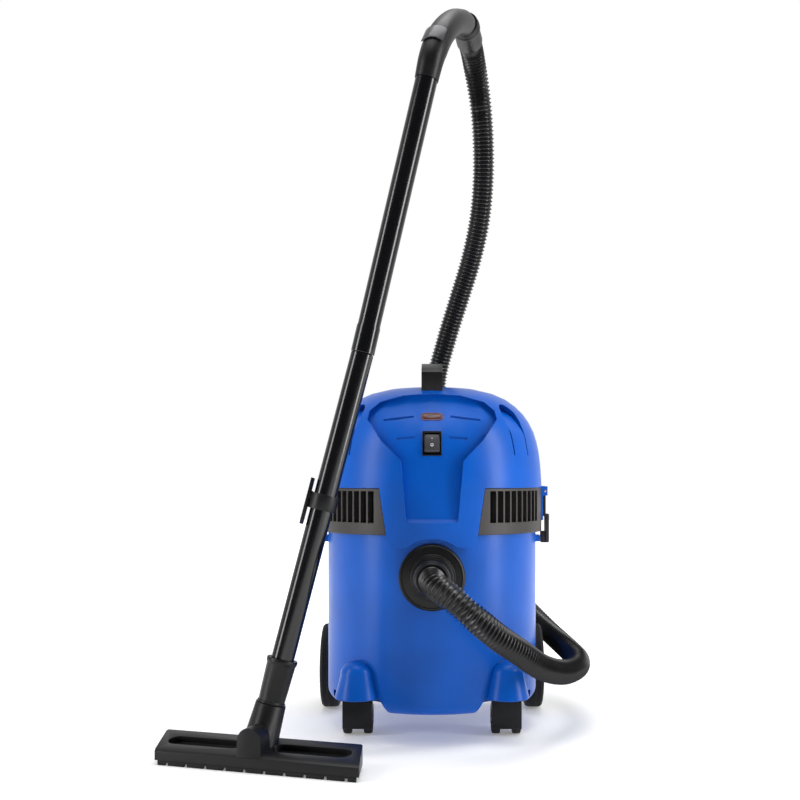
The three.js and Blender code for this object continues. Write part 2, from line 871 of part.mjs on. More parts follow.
// ---- wand ----
const lowerLine = alongLine(body, neckTop, tubeJoint);
const lowerLength = neckTop.distanceTo(tubeJoint);
piece(
  lowerLine,
  "nozzle_sleeve",
  spun([
    [wand.radius + gap, 0.3],
    [19.5, 0.3],
    [19.5, 3],
    [18.3, 4],
    [20, 56],
    [21.5, 58],
    [21.5, 63],
    [wand.radius + gap, 63],
    [wand.radius + gap, 0.3],
  ], 28),
  black,
);
const tube = (low, high) => ring(wand.bore, wand.radius, low, high, 24);
piece(lowerLine, "lower_tube", tube(8, lowerLength - gap), gloss);
const upperLine = alongLine(body, tubeJoint, wandTop);
const upperLength = tubeJoint.distanceTo(wandTop);
piece(
  upperLine,
  "upper_tube",
  spun([
    [wand.bore, 0.6],
    [wand.radius + 0.8, 0.6],
    [wand.radius + 0.8, 40],
    [wand.radius, 41],
    [wand.radius, upperLength - gap],
    [wand.bore, upperLength - gap],
    [wand.bore, 0.6],
  ], 24),
  gloss,
);

// parking hook clipped round the lower tube, its blade hanging on the outer side
const hookHeight = 286;
const hookGroup = placed(lowerLine, 0, 0, hookHeight);
const collar = ring(wand.radius + gap, 20, -11, 11, 24);
const blade = join(
  block([-24, -18], [-7, 7], [2, 12]),
  block([-24.5, -20.8], [-9, 9], [-36, 30]),
);
piece(hookGroup, "parking_hook", cut(join(collar, blade), rod(16.3, 16.3, -50, 50, 24)), black);

// ---- handle ----
const handleCurve = curveOf(handlePoints);
piece(body, "handle_tube", tubeAlong(handleCurve, grip.radius, grip.bore, 14, 16), black);
const sliderFrom = handleCurve.getPointAt(grip.slider);
const sliderTo = sliderFrom.clone().add(handleCurve.getTangentAt(grip.slider));
const sliderLine = alongLine(body, sliderFrom, sliderTo);
const saddle = common(
  ring(grip.saddle, grip.saddle + grip.saddleWall, -13, 13, 40),
  block([-30, 30], [-30, -14], [-20, 20]).rotateZ(degrees(grip.sliderTurn)),
);
piece(sliderLine, "air_slider", saddle, grey);

const cuffLine = alongLine(body, cuffStart, cuffEnd);
const cuffLength = cuffStart.distanceTo(cuffEnd);
piece(
  cuffLine,
  "hose_cuff",
  spun([
    [14, 0],
    [21, 0],
    [22, 2],
    [22, 9],
    [20.5, 11],
    [21, cuffLength],
    [14, cuffLength],
    [14, 0],
  ], 24),
  black,
);

// ---- hose ----
const hoseCurve = curveOf(hosePoints);
piece(body, "hose", tubeAlong(hoseCurve, hose.radius, 0, hose.steps, hose.sides), rubber);

// ---- origin at the middle of the footprint, measured without the free hose ----
vacuum.updateMatrixWorld(true);
const footprint = new THREE.Box3();
body.traverse((part) => {
  if (part.isMesh && part.name !== "hose") footprint.expandByObject(part, true);
});
const middle = footprint.getCenter(new THREE.Vector3());
body.position.set(-middle.x, -middle.y, -footprint.min.z);

export default vacuum;
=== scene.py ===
import json
import math

import bmesh
import bpy
from mathutils import Matrix, Vector

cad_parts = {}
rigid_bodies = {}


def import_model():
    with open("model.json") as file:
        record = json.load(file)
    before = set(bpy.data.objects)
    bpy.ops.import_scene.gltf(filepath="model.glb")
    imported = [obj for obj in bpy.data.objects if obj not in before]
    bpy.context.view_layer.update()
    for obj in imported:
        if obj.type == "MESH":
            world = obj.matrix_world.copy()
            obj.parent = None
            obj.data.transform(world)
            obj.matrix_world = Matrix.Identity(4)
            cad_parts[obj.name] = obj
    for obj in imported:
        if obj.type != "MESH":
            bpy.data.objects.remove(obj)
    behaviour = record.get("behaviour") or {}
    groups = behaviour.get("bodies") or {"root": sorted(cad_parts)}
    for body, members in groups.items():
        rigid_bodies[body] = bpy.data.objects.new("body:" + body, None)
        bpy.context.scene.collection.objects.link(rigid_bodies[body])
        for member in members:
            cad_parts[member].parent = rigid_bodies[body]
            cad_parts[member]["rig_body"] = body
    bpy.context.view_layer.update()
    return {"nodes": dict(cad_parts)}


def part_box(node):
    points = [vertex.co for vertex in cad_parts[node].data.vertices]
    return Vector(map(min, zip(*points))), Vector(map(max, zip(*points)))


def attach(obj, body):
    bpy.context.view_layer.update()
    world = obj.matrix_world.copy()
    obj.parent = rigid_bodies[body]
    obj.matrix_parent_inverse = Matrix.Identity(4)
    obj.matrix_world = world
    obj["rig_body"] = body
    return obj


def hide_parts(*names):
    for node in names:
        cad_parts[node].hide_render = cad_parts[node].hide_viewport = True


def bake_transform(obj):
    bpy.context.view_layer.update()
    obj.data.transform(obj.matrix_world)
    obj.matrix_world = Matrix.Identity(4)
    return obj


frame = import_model()
nodes = frame["nodes"]
scene = bpy.context.scene

# the tank stands on this axis; pieces are shaped about it in millimetres, then placed in metres
plateLow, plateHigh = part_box("motor_plate")
tankAxis = Vector(((plateLow.x + plateHigh.x) / 2, (plateLow.y + plateHigh.y) / 2, 0))
toRow = Matrix.Translation(tankAxis) @ Matrix.Scale(0.001, 4)


# camera, light and floor
studio = {
    "cameraAhead": 1.75,  # metres in front of the tank's axis
    "cameraHeight": 0.395,
    "lens": 49.23,
    "shift": (-0.04, 0.094),
    "roomLight": 0.05,
    "wallLight": 0.85,
    "floorColour": "F4F4F4",
    "lights": [
        ("softboxLeft", (-2.1, -1.0, 1.0), (0, 0, 0.45), (0.55, 2.4), 36),
        ("softboxRight", (2.1, -0.8, 1.0), (0, 0, 0.45), (0.55, 2.4), 47),
        ("softboxTop", (0.1, -0.1, 2.6), (0, 0, 0.3), (1.8, 1.4), 32),
    ],
}


def linear(code):
    # sRGB hex to linear
    parts = [int(code[i : i + 2], 16) / 255 for i in (0, 2, 4)]
    return tuple(p / 12.92 if p <= 0.04045 else ((p + 0.055) / 1.055) ** 2.4 for p in parts) + (1,)


def addNode(tree, kind, settings=None, links=None):
    node = tree.nodes.new(kind)
    for name, value in (settings or {}).items():
        if hasattr(node, name):
            setattr(node, name, value)
        else:
            node.inputs[name].default_value = value
    for name, source in (links or {}).items():
        tree.links.new(source, node.inputs[name])
    return node


def addLight(name, place, target, size, power):
    light = bpy.data.lights.new(name, "AREA")
    light.shape = "RECTANGLE"
    light.size, light.size_y = size
    light.energy = power
    lamp = bpy.data.objects.new(name, light)
    scene.collection.objects.link(lamp)
    lamp.location = tankAxis + Vector(place)
    aim = tankAxis + Vector(target) - lamp.location
    lamp.rotation_euler = aim.to_track_quat("-Z", "Y").to_euler()


def setStudio():
    camera = bpy.data.cameras.new("camera")
    camera.lens = studio["lens"]
    camera.sensor_width = 36
    camera.shift_x, camera.shift_y = studio["shift"]
    eye = bpy.data.objects.new("camera", camera)
    scene.collection.objects.link(eye)
    eye.location = tankAxis + Vector((0, -studio["cameraAhead"], studio["cameraHeight"]))
    eye.rotation_euler = (math.radians(90), 0, 0)
    scene.camera = eye

    world = bpy.data.worlds.new("studio")
    scene.world = world
    world.use_nodes = True
    tree = world.node_tree
    # a bright wall behind the object and a dim room in front of it
    around = addNode(tree, "ShaderNodeTexCoord").outputs["Generated"]
    parts = addNode(tree, "ShaderNodeSeparateXYZ", None, {"Vector": around})
    glow = addNode(
        tree,
        "ShaderNodeMapRange",
        {"From Min": -0.7, "From Max": 0.9, "To Min": studio["roomLight"], "To Max": studio["wallLight"]},
        {"Value": parts.outputs["Y"]},
    )
    seen = addNode(tree, "ShaderNodeLightPath").outputs["Is Camera Ray"]
    strength = addNode(tree, "ShaderNodeMath", {"operation": "MAXIMUM"})
    tree.links.new(glow.outputs["Result"], strength.inputs[0])
    tree.links.new(seen, strength.inputs[1])
    sky = tree.nodes["Background"]
    sky.inputs["Color"].default_value = (1, 1, 1, 1)
    tree.links.new(strength.outputs["Value"], sky.inputs["Strength"])
    scene.view_settings.view_transform = "Standard"

    for name, place, target, size, power in studio["lights"]:
        addLight(name, place, target, size, power)


setStudio()
print("studio ready")


# finishes
def newFinish(name):
    made = bpy.data.materials.new(name)
    made.use_nodes = True
    tree = made.node_tree
    place = addNode(tree, "ShaderNodeTexCoord").outputs["Object"]
    return made, tree, tree.nodes["Principled BSDF"], place


def mouldedPlastic(name, colour, deep, roughness, grain, relief, edge=0.0, shine=0.5):
    # injection-moulded plastic; grain is the size in mm of the mould's texture, edge its rounding in mm
    made, tree, shader, place = newFinish(name)
    cloud = addNode(tree, "ShaderNodeTexNoise", {"Scale": 14, "Detail": 3}, {"Vector": place})
    ramp = addNode(tree, "ShaderNodeValToRGB", None, {"Fac": cloud.outputs["Fac"]})
    ramp.color_ramp.elements[0].position = 0.3
    ramp.color_ramp.elements[0].color = linear(deep)
    ramp.color_ramp.elements[1].position = 0.7
    ramp.color_ramp.elements[1].color = linear(colour)
    tree.links.new(ramp.outputs["Color"], shader.inputs["Base Color"])
    smear = addNode(tree, "ShaderNodeTexNoise", {"Scale": 45, "Detail": 4}, {"Vector": place})
    rough = addNode(
        tree,
        "ShaderNodeMapRange",
        {"To Min": roughness - 0.05, "To Max": roughness + 0.05},
        {"Value": smear.outputs["Fac"]},
    )
    tree.links.new(rough.outputs["Result"], shader.inputs["Roughness"])
    shader.inputs["Specular IOR Level"].default_value = shine
    texture = addNode(tree, "ShaderNodeTexNoise", {"Scale": 1000 / grain, "Detail": 2}, {"Vector": place})
    bump = addNode(
        tree, "ShaderNodeBump", {"Strength": relief, "Distance": 0.0001}, {"Height": texture.outputs["Fac"]}
    )
    if edge:
        soft = addNode(tree, "ShaderNodeBevel", {"samples": 6, "Radius": edge / 1000})
        tree.links.new(soft.outputs["Normal"], bump.inputs["Normal"])
    tree.links.new(bump.outputs["Normal"], shader.inputs["Normal"])
    return made


def bareMetal(name, colour, roughness, streak):
    # turned or plated steel; streak is the spacing in mm of its fine drawn lines
    made, tree, shader, place = newFinish(name)
    shader.inputs["Metallic"].default_value = 1
    shader.inputs["Base Color"].default_value = linear(colour)
    lines = addNode(tree, "ShaderNodeTexNoise", {"Scale": 1000 / streak, "Detail": 3}, {"Vector": place})
    rough = addNode(
        tree,
        "ShaderNodeMapRange",
        {"To Min": roughness - 0.08, "To Max": roughness + 0.1},
        {"Value": lines.outputs["Fac"]},
    )
    tree.links.new(rough.outputs["Result"], shader.inputs["Roughness"])
    return made


def pleatedPaper():
    made, tree, shader, place = newFinish("pleatedPaper")
    fibre = addNode(tree, "ShaderNodeTexNoise", {"Scale": 900, "Detail": 6}, {"Vector": place})
    ramp = addNode(tree, "ShaderNodeValToRGB", None, {"Fac": fibre.outputs["Fac"]})
    ramp.color_ramp.elements[0].color = linear("C4BBA4")
    ramp.color_ramp.elements[1].color = linear("E6E0D0")
    tree.links.new(ramp.outputs["Color"], shader.inputs["Base Color"])
    shader.inputs["Roughness"].default_value = 0.9
    bump = addNode(
        tree, "ShaderNodeBump", {"Strength": 0.4, "Distance": 0.0003}, {"Height": fibre.outputs["Fac"]}
    )
    tree.links.new(bump.outputs["Normal"], shader.inputs["Normal"])
    return made


def redWindow():
    # dark red acrylic with a soft gloss, its depth a little uneven
    made, tree, shader, place = newFinish("redAcrylic")
    depth = addNode(tree, "ShaderNodeTexNoise", {"Scale": 60, "Detail": 2}, {"Vector": place})
    ramp = addNode(tree, "ShaderNodeValToRGB", None, {"Fac": depth.outputs["Fac"]})
    ramp.color_ramp.elements[0].color = linear("2C0407")
    ramp.color_ramp.elements[1].color = linear("4E080D")
    tree.links.new(ramp.outputs["Color"], shader.inputs["Base Color"])
    shader.inputs["Roughness"].default_value = 0.2
    shader.inputs["IOR"].default_value = 1.49
    return made


def floorFinish():
    made, tree, shader, place = newFinish("paleFloor")
    cloud = addNode(tree, "ShaderNodeTexNoise", {"Scale": 3}, {"Vector": place})
    ramp = addNode(tree, "ShaderNodeValToRGB", None, {"Fac": cloud.outputs["Fac"]})
    ramp.color_ramp.elements[0].color = linear("F2F2F2")
    ramp.color_ramp.elements[1].color = linear(studio["floorColour"])
    tree.links.new(ramp.outputs["Color"], shader.inputs["Base Color"])
    shader.inputs["Roughness"].default_value = 0.7
    # painted light: the floor glows, more strongly further from the tank, so that it runs out into the white
    # of the wall where the lamps fall off
    distance = addNode(tree, "ShaderNodeVectorMath", {"operation": "LENGTH"}, {"Vector": place})
    paintedGlow = addNode(
        tree,
        "ShaderNodeMapRange",
        {"From Min": 0.55, "From Max": 1.6, "To Min": 0.22, "To Max": 1.0},
        {"Value": distance.outputs["Value"]},
    )
    shader.inputs["Emission Color"].default_value = (1, 1, 1, 1)
    tree.links.new(paintedGlow.outputs["Result"], shader.inputs["Emission Strength"])
    return made


# satin ABS with a fine spark-eroded grain; its moulded edges catch a thin line of light
blueShell = mouldedPlastic("satinBlueAbs", "0457BC", "044FAC", 0.32, 0.7, 0.12, 1.1, 0.2)
# polypropylene, matt, from a textured mould
blackShell = mouldedPlastic("mattBlackPolypropylene", "101012", "0B0B0D", 0.4, 0.6, 0.2, 0.6, 0.28)
# tubes of polished black plastic: dark, with long sharp reflections
glossBlack = mouldedPlastic("polishedBlackAbs", "0B0B0E", "08080B", 0.17, 2.5, 0.03)
# warm grey moulded ABS of the vents and latches
greyShell = mouldedPlastic("warmGreyAbs", "353130", "2D2A29", 0.46, 0.6, 0.2, 0.5, 0.35)
# painted shade: a dull black insert behind the vent openings, almost without shine, stands in for the shade
# inside the head
paintedShadeBlack = mouldedPlastic("paintedShadeInsert", "060607", "040405", 0.85, 0.8, 0.2, 0, 0.1)
greyRocker = mouldedPlastic("greyNylon", "3B3B40", "333338", 0.34, 0.5, 0.15)
# tyres and wheels: dull, slightly dusty rubber
wheelRubber = mouldedPlastic("dullBlackRubber", "19191B", "121214", 0.68, 0.9, 0.4, 0, 0.3)
# ribbed hose of soft blow-moulded PVC, a little shinier than the mouldings
hosePvc = mouldedPlastic("ribbedBlackPvc", "131315", "0D0D0F", 0.3, 0.8, 0.08, 0, 0.4)
platedSteel = bareMetal("platedSteel", "A9ABB0", 0.3, 0.5)
whiteFoam = mouldedPlastic("whiteFloatPolystyrene", "DEDEDA", "D2D2CC", 0.5, 1.5, 0.5)
whitePrint = mouldedPlastic("whitePadPrint", "E4E4E4", "DCDCDC", 0.5, 0.5, 0.1)
# painted highlight: this lighter red gives the rim round the window and also stands for the highlight line
# round the lens
redRimAndHighlight = mouldedPlastic("glossRedRimAndHighlight", "5E0F16", "520A10", 0.22, 0.8, 0.05)
paper = pleatedPaper()
redLens = redWindow()
floorPaint = floorFinish()
print("finishes ready")


# shaping helpers
def spinProfile(bm, profile, steps=96):
    # a profile of (radius, height) points turned about Z into a closed skin
    verts = [bm.verts.new((r, 0, z)) for r, z in profile]
    edges = [bm.edges.new(pair) for pair in zip(verts, verts[1:])]
    bmesh.ops.spin(
        bm,
        geom=verts + edges,
        cent=(0, 0, 0),
        axis=(0, 0, 1),
        dvec=(0, 0, 0),
        angle=math.tau,
        steps=steps,
        use_merge=True,
    )
    bmesh.ops.remove_doubles(bm, verts=bm.verts, dist=0.001)
    bmesh.ops.recalc_face_normals(bm, faces=bm.faces)
    return bm


def turned(profile, steps=96, matrix=None):
    bm = spinProfile(bmesh.new(), profile, steps)
    if matrix is not None:
        bmesh.ops.transform(bm, matrix=matrix, verts=bm.verts)
    return bm


def prism(points, low, high, turn=None):
    # an outline drawn in X and Z, given thickness from y = low to y = high
    bm = bmesh.new()
    face = bm.faces.new([bm.verts.new((x, low, z)) for x, z in points])
    made = bmesh.ops.extrude_face_region(bm, geom=[face])
    moved = [g for g in made["geom"] if isinstance(g, bmesh.types.BMVert)]
    bmesh.ops.translate(bm, verts=moved, vec=(0, high - low, 0))
    if turn is not None:
        bmesh.ops.transform(bm, matrix=turn, verts=bm.verts)
    bmesh.ops.recalc_face_normals(bm, faces=bm.faces)
    return bm


def box(xs, ys, zs, turn=None):
    return prism([(xs[0], zs[0]), (xs[1], zs[0]), (xs[1], zs[1]), (xs[0], zs[1])], *ys, turn=turn)


def drum(low, high, bottom, top, steps=32, turn=None):
    return turned([(0, bottom), (low, bottom), (high, top), (0, top)], steps, turn)


def add(bm, other):
    # puts another shape into the same mesh
    spare = bpy.data.meshes.new("spare")
    other.to_mesh(spare)
    other.free()
    bm.from_mesh(spare)
    bpy.data.meshes.remove(spare)
    return bm


def objectOf(name, bm):
    mesh = bpy.data.meshes.new(name)
    bm.to_mesh(mesh)
    bm.free()
    made = bpy.data.objects.new(name, mesh)
    scene.collection.objects.link(made)
    return made


def carve(solid, tools, operation="DIFFERENCE"):
    # one bmesh cut by, joined with or kept within others; gives a new bmesh
    work = objectOf("work", solid)
    spares = []
    for tool in tools:
        other = objectOf("tool", tool)
        spares.append(other)
        modifier = work.modifiers.new("carve", "BOOLEAN")
        modifier.operation = operation
        modifier.solver = "EXACT"
        modifier.object = other
    bpy.context.view_layer.update()
    done = work.evaluated_get(bpy.context.evaluated_depsgraph_get())
    result = bmesh.new()
    result.from_mesh(done.to_mesh())
    done.to_mesh_clear()
    for spare in [work, *spares]:
        mesh = spare.data
        bpy.data.objects.remove(spare)
        bpy.data.meshes.remove(mesh)
    return result


def finishPiece(name, bm, material, body, stands=(), sharp=32, placed=True):
    # places a shape, smooths it, gives it its finish and hangs it on its body
    if placed:
        bmesh.ops.transform(bm, matrix=toRow, verts=bm.verts)
    made = objectOf(name, bm)
    made.data.shade_smooth()
    made.data.set_sharp_from_angle(angle=math.radians(sharp))
    made.data.materials.clear()
    made.data.materials.append(material)
    if body:
        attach(made, body)
    if stands:
        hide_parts(*stands)
    return made


def refined(node, material, bevel=0.5, sharp=34, segments=3):
    # a CAD node's own shape, merged, with its edges rounded
    source = nodes[node]
    bm = bmesh.new()
    bm.from_mesh(source.data)
    bmesh.ops.remove_doubles(bm, verts=bm.verts, dist=0.00002)
    bmesh.ops.dissolve_limit(bm, angle_limit=math.radians(0.6), verts=bm.verts, edges=bm.edges)
    edges = [e for e in bm.edges if e.is_manifold and e.calc_face_angle(0) > math.radians(sharp)]
    if bevel and edges:
        bmesh.ops.bevel(
            bm,
            geom=edges,
            offset=bevel / 1000,
            segments=segments,
            profile=0.5,
            affect="EDGES",
            material=-1,
            clamp_overlap=True,
        )
    bmesh.ops.recalc_face_normals(bm, faces=bm.faces)
    name = "".join(w.capitalize() if i else w for i, w in enumerate(node.split("_")))
    return finishPiece(name, bm, material, source["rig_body"], [node], sharp, placed=False)


def curvePoints(points, step):
    # points every step along one smooth centripetal curve through the given ones
    places = [Vector(p) for p in points]
    places.insert(0, places[0] * 2 - places[1])
    places.append(places[-1] * 2 - places[-2])
    dense = []
    for a, b, c, d in zip(places, places[1:], places[2:], places[3:]):
        ta, tb = 0.0, (b - a).length ** 0.5
        tc = tb + (c - b).length ** 0.5
        td = tc + (d - c).length ** 0.5
        for i in range(24):
            t = tb + (tc - tb) * i / 24
            ab = a.lerp(b, (t - ta) / (tb - ta))
            bc = b.lerp(c, (t - tb) / (tc - tb))
            cd = c.lerp(d, (t - tc) / (td - tc))
            abc = ab.lerp(bc, (t - ta) / (tc - ta))
            bcd = bc.lerp(cd, (t - tb) / (td - tb))
            dense.append(abc.lerp(bcd, (t - tb) / (tc - tb)))
    dense.append(places[-2])
    total = sum((b - a).length for a, b in zip(dense, dense[1:]))
    count = max(2, round(total / step))
    even, walked, goal = [dense[0]], 0.0, total / count
    for a, b in zip(dense, dense[1:]):
        length = (b - a).length
        while walked + length >= goal - 1e-9 and len(even) < count:
            even.append(a.lerp(b, (goal - walked) / length))
            goal += total / count
        walked += length
    even.append(dense[-1])
    return even


def sweep(points, radii, sides):
    # a circle carried along points, its size following radii
    bm = bmesh.new()
    bmesh.ops.create_circle(bm, cap_ends=False, radius=1, segments=sides)
    edges = list(bm.edges)
    bmesh.ops.contextual_create(bm, geom=edges)
    forward = (points[1] - points[0]).normalized()
    turn = Vector((0, 0, 1)).rotation_difference(forward)
    last = Matrix.Identity(4)
    verts = list(bm.verts)
    for i, point in enumerate(points):
        ahead = points[min(i + 1, len(points) - 1)] - points[max(i - 1, 0)]
        turn = forward.rotation_difference(ahead.normalized()) @ turn
        forward = ahead.normalized()
        size = Matrix.Diagonal((radii[i], radii[i], radii[i], 1))
        now = Matrix.Translation(point) @ turn.to_matrix().to_4x4() @ size
        if i:
            made = bmesh.ops.extrude_edge_only(bm, edges=edges)["geom"]
            verts = [g for g in made if isinstance(g, bmesh.types.BMVert)]
            fresh = set(verts)
            edges = [g for g in made if isinstance(g, bmesh.types.BMEdge) and set(g.verts) <= fresh]
        bmesh.ops.transform(bm, matrix=now @ last.inverted(), verts=verts)
        last = now
    bmesh.ops.contextual_create(bm, geom=edges)
    bmesh.ops.recalc_face_normals(bm, faces=bm.faces)
    return bm


def lineFrame(start, end):
    # matrix whose Z axis runs from start towards end
    start, end = Vector(start), Vector(end)
    turn = Vector((0, 0, 1)).rotation_difference((end - start).normalized())
    return Matrix.Translation(start) @ turn.to_matrix().to_4x4()


# hose
hose = {
    "radius": 19.1,
    "valley": 15.8,
    "pitch": 6.4,  # from rib to rib
    "sides": 30,
    "length": 1.82,
    "route": [
        (0, -206.8, 247), (0, -222, 247), (7, -248, 241), (28, -266, 227), (56, -270, 203),
        (89, -252, 174), (122, -220, 148), (158, -170, 118), (196, -105, 99), (225, -40, 95),
        (236, 20, 95), (236, 80, 96), (226, 145, 103), (203, 200, 122), (166, 243, 160),
        (122, 266, 215), (80, 274, 280), (47, 272, 350), (22, 262, 430), (8, 248, 505),
        (8, 237, 567), (26, 228, 639), (48, 214, 709), (69, 193, 776), (83, 168, 840),
        (88.5, 146, 902), (88, 127, 964), (84, 112, 1012), (78.5, 96, 1046), (72, 75, 1073),
        (66, 49, 1091), (63.2, 35.5, 1095.6), (61.15, 23, 1096.9),
    ],
    "blendStart": (8, 245, 550),
    "blendEnd": (61, 24, 1090),
}


def makeHose():
    points = curvePoints(hose["route"], hose["pitch"] / 4)
    swing = hose["radius"] - hose["valley"]
    shares = (0, 0.35, 1, 0.35)
    radii = [hose["valley"] + swing * shares[i % 4] for i in range(len(points))]
    skin = sweep(points, radii, hose["sides"])
    made = finishPiece("hosePiece", skin, hosePvc, None, ["hose"], 75)
    path = [toRow @ p for p in points[::8]]
    if len(points) % 8 != 1:
        path.append(toRow @ points[-1])
    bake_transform(made)


makeHose()
print("hose ready")


# tank
tank = {
    "radius": 165,
    "wall": 3,
    "floor": 44,
    "rim": 316,
    "corner": 18,
    "castorX": 113,
    "castorY": -88,
    "bossX": 111,
    "bossY": -130,
    "wellRoof": 65.8,
    "boss": [(0, 65.8), (32.2, 65.8), (33, 66.6), (25.2, 97), (24.9, 99), (24.6, 101)],
    "crown": (24.6, 19.5),
    "steps": 160,
}


def cornerProfile(radius, floor, corner, count=8):
    turns = [-math.pi / 2 + math.pi / 2 * i / count for i in range(count + 1)]
    return [(radius - corner + corner * math.cos(t), floor + corner + corner * math.sin(t)) for t in turns]


def makeTank():
    radius, floor, rim, corner = tank["radius"], tank["floor"], tank["rim"], tank["corner"]
    inRadius, inFloor = radius - tank["wall"], floor + tank["wall"]
    outer = [(0, floor), *cornerProfile(radius, floor, corner), (radius, rim), (0, rim)]
    solid = turned(outer, tank["steps"])
    roof = tank["wellRoof"]
    wells, bosses = [], []
    keep = [box((-149, 149), (103, 147), (40, 95))]  # wall round the rear axle's tunnel
    ledge, (wide, high) = tank["boss"][-1][1], tank["crown"]
    for side in (-1, 1):
        atCastor = Matrix.Translation((side * tank["castorX"], tank["castorY"], 0))
        atBoss = Matrix.Translation((side * tank["bossX"], tank["bossY"], 0))
        wells += [drum(44, 44, 30, roof, 96, atCastor), drum(58, 38, 30, roof, 96, atBoss)]
        keep += [drum(47.5, 47.5, 30, roof + 3, 96, atCastor), drum(61.5, 41.5, 30, roof + 3, 96, atBoss)]
        turns = [math.pi / 2 * i / 9 for i in range(1, 9)]
        dome = [(wide * math.cos(t), ledge + high * math.sin(t)) for t in turns] + [(0, ledge + high)]
        bosses.append(turned(tank["boss"] + dome, 72, atBoss))
    inner = [(0, inFloor), *cornerProfile(inRadius, inFloor, corner - 3), (inRadius, rim + 2), (0, rim + 2)]
    solid = carve(solid, wells)
    solid = carve(solid, bosses, "UNION")
    hollow = carve(turned(inner, tank["steps"]), keep)
    tunnel = box((-148, 148), (105, 145), (50, 92))
    solid = carve(solid, [tunnel], "UNION")
    stems = []
    for side in (-1, 1):
        stem = Matrix.Translation((side * tank["castorX"], tank["castorY"], 0))
        stems.append(drum(5.4, 5.4, 40, 86, 24, stem))
    solid = carve(solid, [hollow, *stems])
    for side in (-1, 1):
        keeper = box(sorted((side * 162.5, side * 171.5)), (-14, 14), (290, 300))
        add(solid, keeper)
    finishPiece("tankShell", solid, blueShell, "root", ["tank"], 30)


makeTank()
print("tank ready")


# head: dome with a front apron, a sunk panel and shoulder scoops
head = {
    "radius": 174.5,
    "wall": 4,
    "steps": 160,
    "dome": [
        (174.5, 376), (173.5, 395), (172, 413), (170, 430), (166.5, 447), (161.5, 463), (154, 478),
        (145, 491), (133, 503), (118, 514), (98, 523), (70, 530), (35, 533.5), (0, 534.5),
    ],
    "panel": [(42, 514.5), (78, 505), (94, 491), (96.5, 478), (75, 446), (45.5, 416), (37.2, 331)],
    "panelTop": 517,
    "panelSide": [
        (-167.5, 331), (-165.5, 352), (-163, 376), (-160, 400), (-153.5, 430), (-144, 455), (-129, 477),
        (-108, 505), (-103, 520), (-101, 560),
    ],
    "dashes": [(-72, 477, -27, 482), (27, 482, 72, 477), (-52, 448.5, -25, 450.5), (25, 450.5, 52, 448.5)],
    "scoopAzimuth": 52.5,
    "scoopHalf": 19.5,
    "scoopTongue": [
        (-195, 400), (-173.5, 428), (-170.5, 438), (-166, 450), (-160, 462), (-151, 474), (-141, 484),
        (-130, 492), (-118, 498), (-100, 503), (-100, 400),
    ],
    "scoopFloor": [(0, 400), (168, 426), (164, 436), (155, 463), (141, 480), (122, 494), (98, 506), (0, 520)],
}


def mirrored(half, top=None):
    points = [(-x, z) for x, z in reversed(half)]
    return ([(0, top)] if top else []) + half + points


def panelDepth(x, z):
    # how far forward the panel's surface lies at a place on it
    side = head["panelSide"]
    for (y1, z1), (y2, z2) in zip(side, side[1:]):
        if z <= z2:
            return y1 + (y2 - y1) * (z - z1) / (z2 - z1) + x * x / 500
    return side[-1][0] + x * x / 500


def panelTool(margin):
    half = [(x + margin, z + (margin if z > 480 else -margin if z < 340 else 0)) for x, z in head["panel"]]
    half[-1] = (half[-1][0], half[-1][1] - 8)
    outline = prism(mirrored(half, head["panelTop"] + margin), -230, -20)
    low = 325 if margin == 0 else 321
    side = [(y + margin, z) for y, z in head["panelSide"]]
    # a slanted ledge closes the panel's foot
    points = [(-225, low), (side[0][0] - 8, low), *side, (-225, 560)]
    bm = bmesh.new()
    face = bm.faces.new([bm.verts.new((-120, y, z)) for y, z in points])
    region = [face]
    for i in range(24):
        made = bmesh.ops.extrude_face_region(bm, geom=region)["geom"]
        moved = [g for g in made if isinstance(g, bmesh.types.BMVert)]
        if i:
            bmesh.ops.delete(bm, geom=region, context="FACES_ONLY")  # only the two end faces stay
        bmesh.ops.translate(bm, verts=moved, vec=(10, 0, 0))
        region = [g for g in made if isinstance(g, bmesh.types.BMFace)]
    for vert in bm.verts:
        if vert.co.y > -220:
            vert.co.y += vert.co.x**2 / 500
    bmesh.ops.recalc_face_normals(bm, faces=bm.faces)
    return carve(outline, [bm], "INTERSECT")


def bowlTool(margin):
    bm = bmesh.new()
    bmesh.ops.create_uvsphere(bm, u_segments=64, v_segments=32, radius=1)
    bmesh.ops.scale(bm, vec=(58 + margin, 66 + margin, 50 + margin), verts=bm.verts)
    bmesh.ops.translate(bm, vec=(0, 0, 560), verts=bm.verts)
    return bm


def apronPoints(margin):
    half = [(77.5 + margin, 377), (67 + margin, 309), (64 + margin, 296), (58 + margin / 2, 288 - margin)]
    radius = 56 - margin
    reach = math.acos((288 - margin - 247) / radius)
    arch = [reach - 2 * reach * i / 24 for i in range(1, 24)]
    arch = [(radius * math.sin(t), 247 + radius * math.cos(t)) for t in arch]
    return half + arch + [(-x, z) for x, z in reversed(half)]


def scoopArch(margin):
    half = head["scoopHalf"] + margin
    turns = [math.pi * i / 16 for i in range(1, 16)]
    arch = [(half * math.cos(t), 482 + (21 + margin) * math.sin(t)) for t in turns]
    return [(half, 425 - margin), (half, 482), *arch, (-half, 482), (-half, 425 - margin)]


def scoopTool(side):
    # a hooded arch sunk into the shoulder, with a tongue that rises flush towards its foot
    half = head["scoopHalf"]
    recess = prism(scoopArch(0), -195, -100)
    tongue = prism(head["scoopTongue"], -half + 2.6, half - 2.6, Matrix.Rotation(math.pi / 2, 4, "Z"))
    tool = carve(recess, [tongue])
    tool = carve(tool, [turned(head["scoopFloor"], 96)])
    turn = Matrix.Rotation(math.radians(side * head["scoopAzimuth"]), 4, "Z")
    bmesh.ops.transform(tool, matrix=turn, verts=tool.verts)
    return tool


